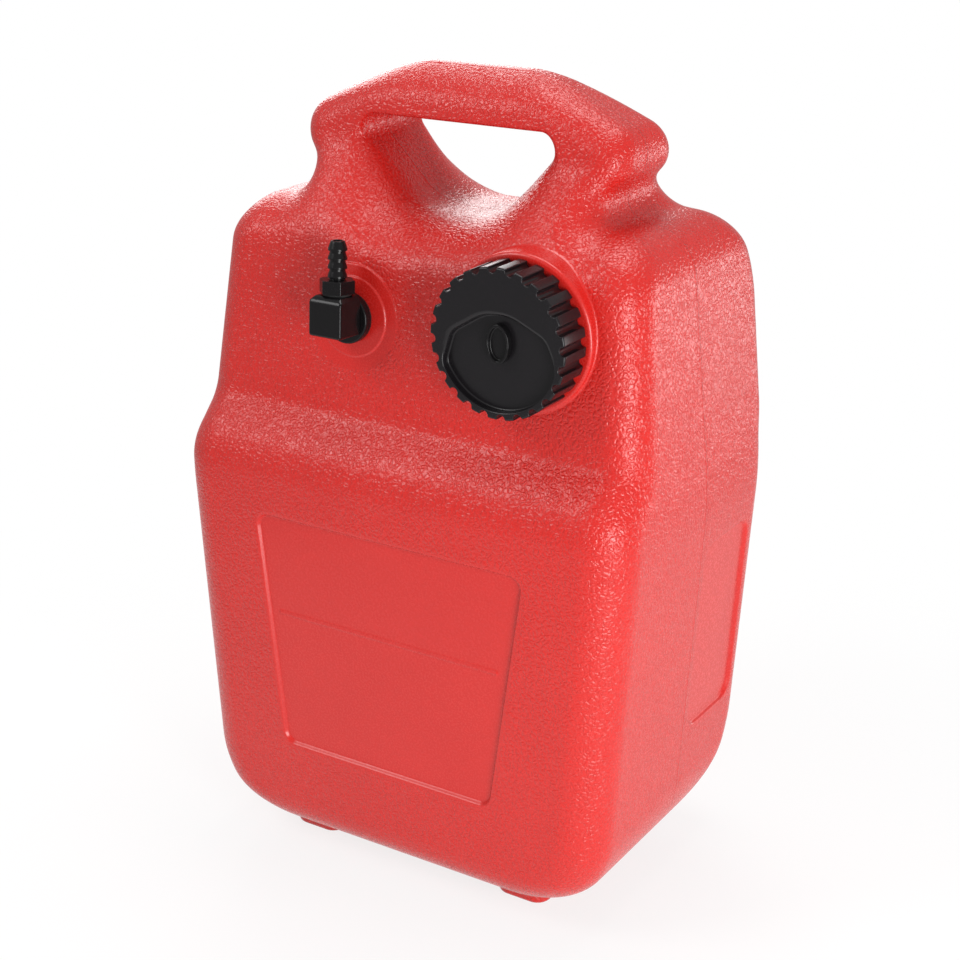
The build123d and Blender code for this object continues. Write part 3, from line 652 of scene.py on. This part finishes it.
def parting_line(nodes, links, place):
    """Height of the mould's parting line, a low ridge round the tank in the plane of the handle."""
    parts = add(nodes, "ShaderNodeSeparateXYZ")
    links.new(place.outputs["Object"], parts.inputs["Vector"])
    across = add(nodes, "ShaderNodeMath", operation="SUBTRACT")
    across.inputs[1].default_value = SHIFT_Y * MM
    links.new(parts.outputs["Y"], across.inputs[0])
    gap = add(nodes, "ShaderNodeMath", operation="ABSOLUTE")
    links.new(across.outputs[0], gap.inputs[0])
    ridge = add(
        nodes,
        "ShaderNodeMapRange",
        interpolation_type="SMOOTHSTEP",
        From_Min=0.0002,
        From_Max=0.001,
        To_Min=1.0,
        To_Max=0.0,
    )
    links.new(gap.outputs[0], ridge.inputs["Value"])
    return ridge.outputs["Result"]


def red_plastic():
    made, nodes, links, shader = material("tank_polyethylene")
    place = add(nodes, "ShaderNodeTexCoord")
    fine = noise(nodes, links, place, 900.0, 3.0, 0.6)
    soft = noise(nodes, links, place, 22.0, 2.0, 0.5)
    bump = bump_over(nodes, links, pebbled(nodes, links, place, fine), 1.0, 0.00022)
    waves = bump_over(nodes, links, soft.outputs["Fac"], 0.35, 0.0006, bump)
    seam = bump_over(nodes, links, parting_line(nodes, links, place), 0.8, 0.0004, waves)
    links.new(seam.outputs["Normal"], shader.inputs["Normal"])
    vary_colour(nodes, links, shader, soft.outputs["Fac"], linear(197, 32, 27), linear(205, 37, 31))
    vary_roughness(nodes, links, shader, fine.outputs["Fac"], 0.22, 0.32)
    shader.inputs["Specular IOR Level"].default_value = 0.5
    return made


LIGHTER = 1.18


def plain_plastic(name, colour, low, high, bump_height, gloss=0.5):
    """Moulded plastic or rubber whose roughness varies from low to high."""
    made, nodes, links, shader = material(name)
    place = add(nodes, "ShaderNodeTexCoord")
    fine = noise(nodes, links, place, 900.0, 4.0, 0.6)
    broad = noise(nodes, links, place, 60.0, 2.0, 0.5)
    vary_roughness(nodes, links, shader, broad.outputs["Fac"], low, high)
    lighter = linear(*(c * LIGHTER for c in colour))
    vary_colour(nodes, links, shader, fine.outputs["Fac"], linear(*colour), lighter)
    bump = bump_over(nodes, links, fine.outputs["Fac"], 0.3, bump_height)
    links.new(bump.outputs["Normal"], shader.inputs["Normal"])
    shader.inputs["Specular IOR Level"].default_value = gloss
    return made


def metal():
    made, nodes, links, shader = material("zinc_steel")
    place = add(nodes, "ShaderNodeTexCoord")
    fine = noise(nodes, links, place, 1200.0, 3.0, 0.5)
    vary_roughness(nodes, links, shader, fine.outputs["Fac"], 0.25, 0.42)
    shader.inputs["Base Color"].default_value = (0.62, 0.62, 0.63, 1.0)
    shader.inputs["Metallic"].default_value = 1.0
    return made


finishes = {
    "tank_red": red_plastic(),
    "cap_black": plain_plastic("cap_polypropylene", (21, 19, 21), 0.2, 0.3, 0.00003, 0.28),
    "fitting_black": plain_plastic("fitting_nylon", (17, 16, 17), 0.18, 0.28, 0.00002, 0.22),
    "seal_rubber": plain_plastic("seal_rubber", (24, 24, 24), 0.6, 0.75, 0.00005),
    "hose_rubber": plain_plastic("hose_rubber", (30, 30, 30), 0.5, 0.65, 0.00005),
    "inner_plastic": plain_plastic("natural_plastic", (196, 192, 180), 0.35, 0.5, 0.00003),
    "steel": metal(),
}
slots = {entry["node"]: entry["material_slot"] for entry in frame["record"]["subparts"]}
for node, body in frame["nodes"].items():
    body.data.materials.clear()
    body.data.materials.append(finishes[slots[node]])
for piece in (tank, cap, knob, collar, block, barb):
    piece.data.materials.append(finishes[piece["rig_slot"]])


# ---------------------------------------------------------------- floor, lights and world
def seen_share(nodes, links, gloss):
    """1 for a ray from the camera or through glass, gloss for a reflected one, 0 for the rest."""
    path = add(nodes, "ShaderNodeLightPath")
    shiny = add(nodes, "ShaderNodeMath", operation="MULTIPLY")
    shiny.inputs[1].default_value = gloss
    seen = add(nodes, "ShaderNodeMath", operation="MAXIMUM")
    clear = add(nodes, "ShaderNodeMath", operation="MAXIMUM")
    links.new(path.outputs["Is Camera Ray"], seen.inputs[0])
    links.new(path.outputs["Is Glossy Ray"], shiny.inputs[0])
    links.new(shiny.outputs[0], seen.inputs[1])
    links.new(seen.outputs[0], clear.inputs[0])
    links.new(path.outputs["Is Transmission Ray"], clear.inputs[1])
    return clear.outputs[0]


# Round floor that turns to plain white away from the object's shadow
FLOOR_RADIUS, FLOOR_SIDES = 0.62, 96
turns = [2 * math.pi * k / FLOOR_SIDES for k in range(FLOOR_SIDES)]
rim = [(FLOOR_RADIUS * math.cos(a), FLOOR_RADIUS * math.sin(a), 0.0) for a in turns]
floor_mesh = bpy.data.meshes.new("floor")
floor_mesh.from_pydata(rim, [], [range(FLOOR_SIDES)])
floor = bpy.data.objects.new("floor", floor_mesh)
bpy.context.scene.collection.objects.link(floor)
made, nodes, links, shader = material("floor_white")
shader.inputs["Base Color"].default_value = (0.86, 0.86, 0.86, 1.0)
shader.inputs["Roughness"].default_value = 0.9
glow = add(nodes, "ShaderNodeEmission", Strength=1.0)
place = add(nodes, "ShaderNodeTexCoord")
from_middle = add(nodes, "ShaderNodeVectorMath", operation="LENGTH")
fade = add(
    nodes,
    "ShaderNodeMapRange",
    interpolation_type="SMOOTHSTEP",
    From_Min=0.22,
    From_Max=0.55,
    To_Min=0.8,
    To_Max=1.0,
)
share = add(nodes, "ShaderNodeMath", operation="MULTIPLY")
mix = add(nodes, "ShaderNodeMixShader")
links.new(place.outputs["Object"], from_middle.inputs[0])
links.new(from_middle.outputs["Value"], fade.inputs["Value"])
links.new(seen_share(nodes, links, 1.0), share.inputs[0])
links.new(fade.outputs["Result"], share.inputs[1])
links.new(share.outputs[0], mix.inputs[0])
links.new(shader.outputs[0], mix.inputs[1])
links.new(glow.outputs[0], mix.inputs[2])
links.new(mix.outputs[0], nodes["Material Output"].inputs["Surface"])
floor_mesh.materials.append(made)

# The world is white to the camera, dimmer in gloss and dimmest where it lights the object
world = bpy.data.worlds.new("studio")
bpy.context.scene.world = world
world.use_nodes = True
nodes, links = world.node_tree.nodes, world.node_tree.links
strength = add(nodes, "ShaderNodeMapRange", To_Min=0.4, To_Max=1.0)
links.new(seen_share(nodes, links, 0.15), strength.inputs["Value"])
links.new(strength.outputs["Result"], nodes["Background"].inputs["Strength"])
nodes["Background"].inputs["Color"].default_value = (1.0, 1.0, 1.0, 1.0)

LAMP_AIM = Vector((0.0, 0.0, 0.22))


def softbox(name, place, width, height, power):
    lamp = bpy.data.lights.new(name, "AREA")
    lamp.shape, lamp.size, lamp.size_y, lamp.energy = "RECTANGLE", width, height, power
    box = bpy.data.objects.new(name, lamp)
    box.location = place
    box.rotation_euler = (LAMP_AIM - Vector(place)).to_track_quat("-Z", "Y").to_euler()
    bpy.context.scene.collection.objects.link(box)


softbox("key_right", (0.7, -0.47, 0.26), width=0.3, height=0.5, power=5.5)
softbox("fill_left", (-0.8, -0.85, 1.2), width=0.6, height=0.6, power=8)
softbox("top", (0.0, 0.3, 1.5), width=0.8, height=0.6, power=8.5)
softbox("back_right", (0.75, 0.95, 0.13), width=0.9, height=0.26, power=3.2)
softbox("back_left", (-1.0, 1.1, 0.8), width=0.8, height=0.8, power=8)

# ---------------------------------------------------------------- camera
AZIMUTH, ELEVATION, DISTANCE = math.radians(32.1), math.radians(20.5), 0.9775
camera_data = bpy.data.cameras.new("camera")
camera_data.lens, camera_data.sensor_width = 69.68, 36.0
camera_data.shift_x, camera_data.shift_y = -0.01646, -0.01719
camera_data.clip_start = 0.05
camera = bpy.data.objects.new("camera", camera_data)
target = Vector((9.5, SHIFT_Y + 0.02, 209.6)) * MM
away = Vector(
    (
        math.sin(AZIMUTH) * math.cos(ELEVATION),
        -math.cos(AZIMUTH) * math.cos(ELEVATION),
        math.sin(ELEVATION),
    )
)
camera.location = target + away * DISTANCE
camera.rotation_euler = (-away).to_track_quat("-Z", "Y").to_euler()
bpy.context.scene.collection.objects.link(camera)
bpy.context.scene.camera = camera
bpy.context.scene.view_settings.view_transform = "Standard"
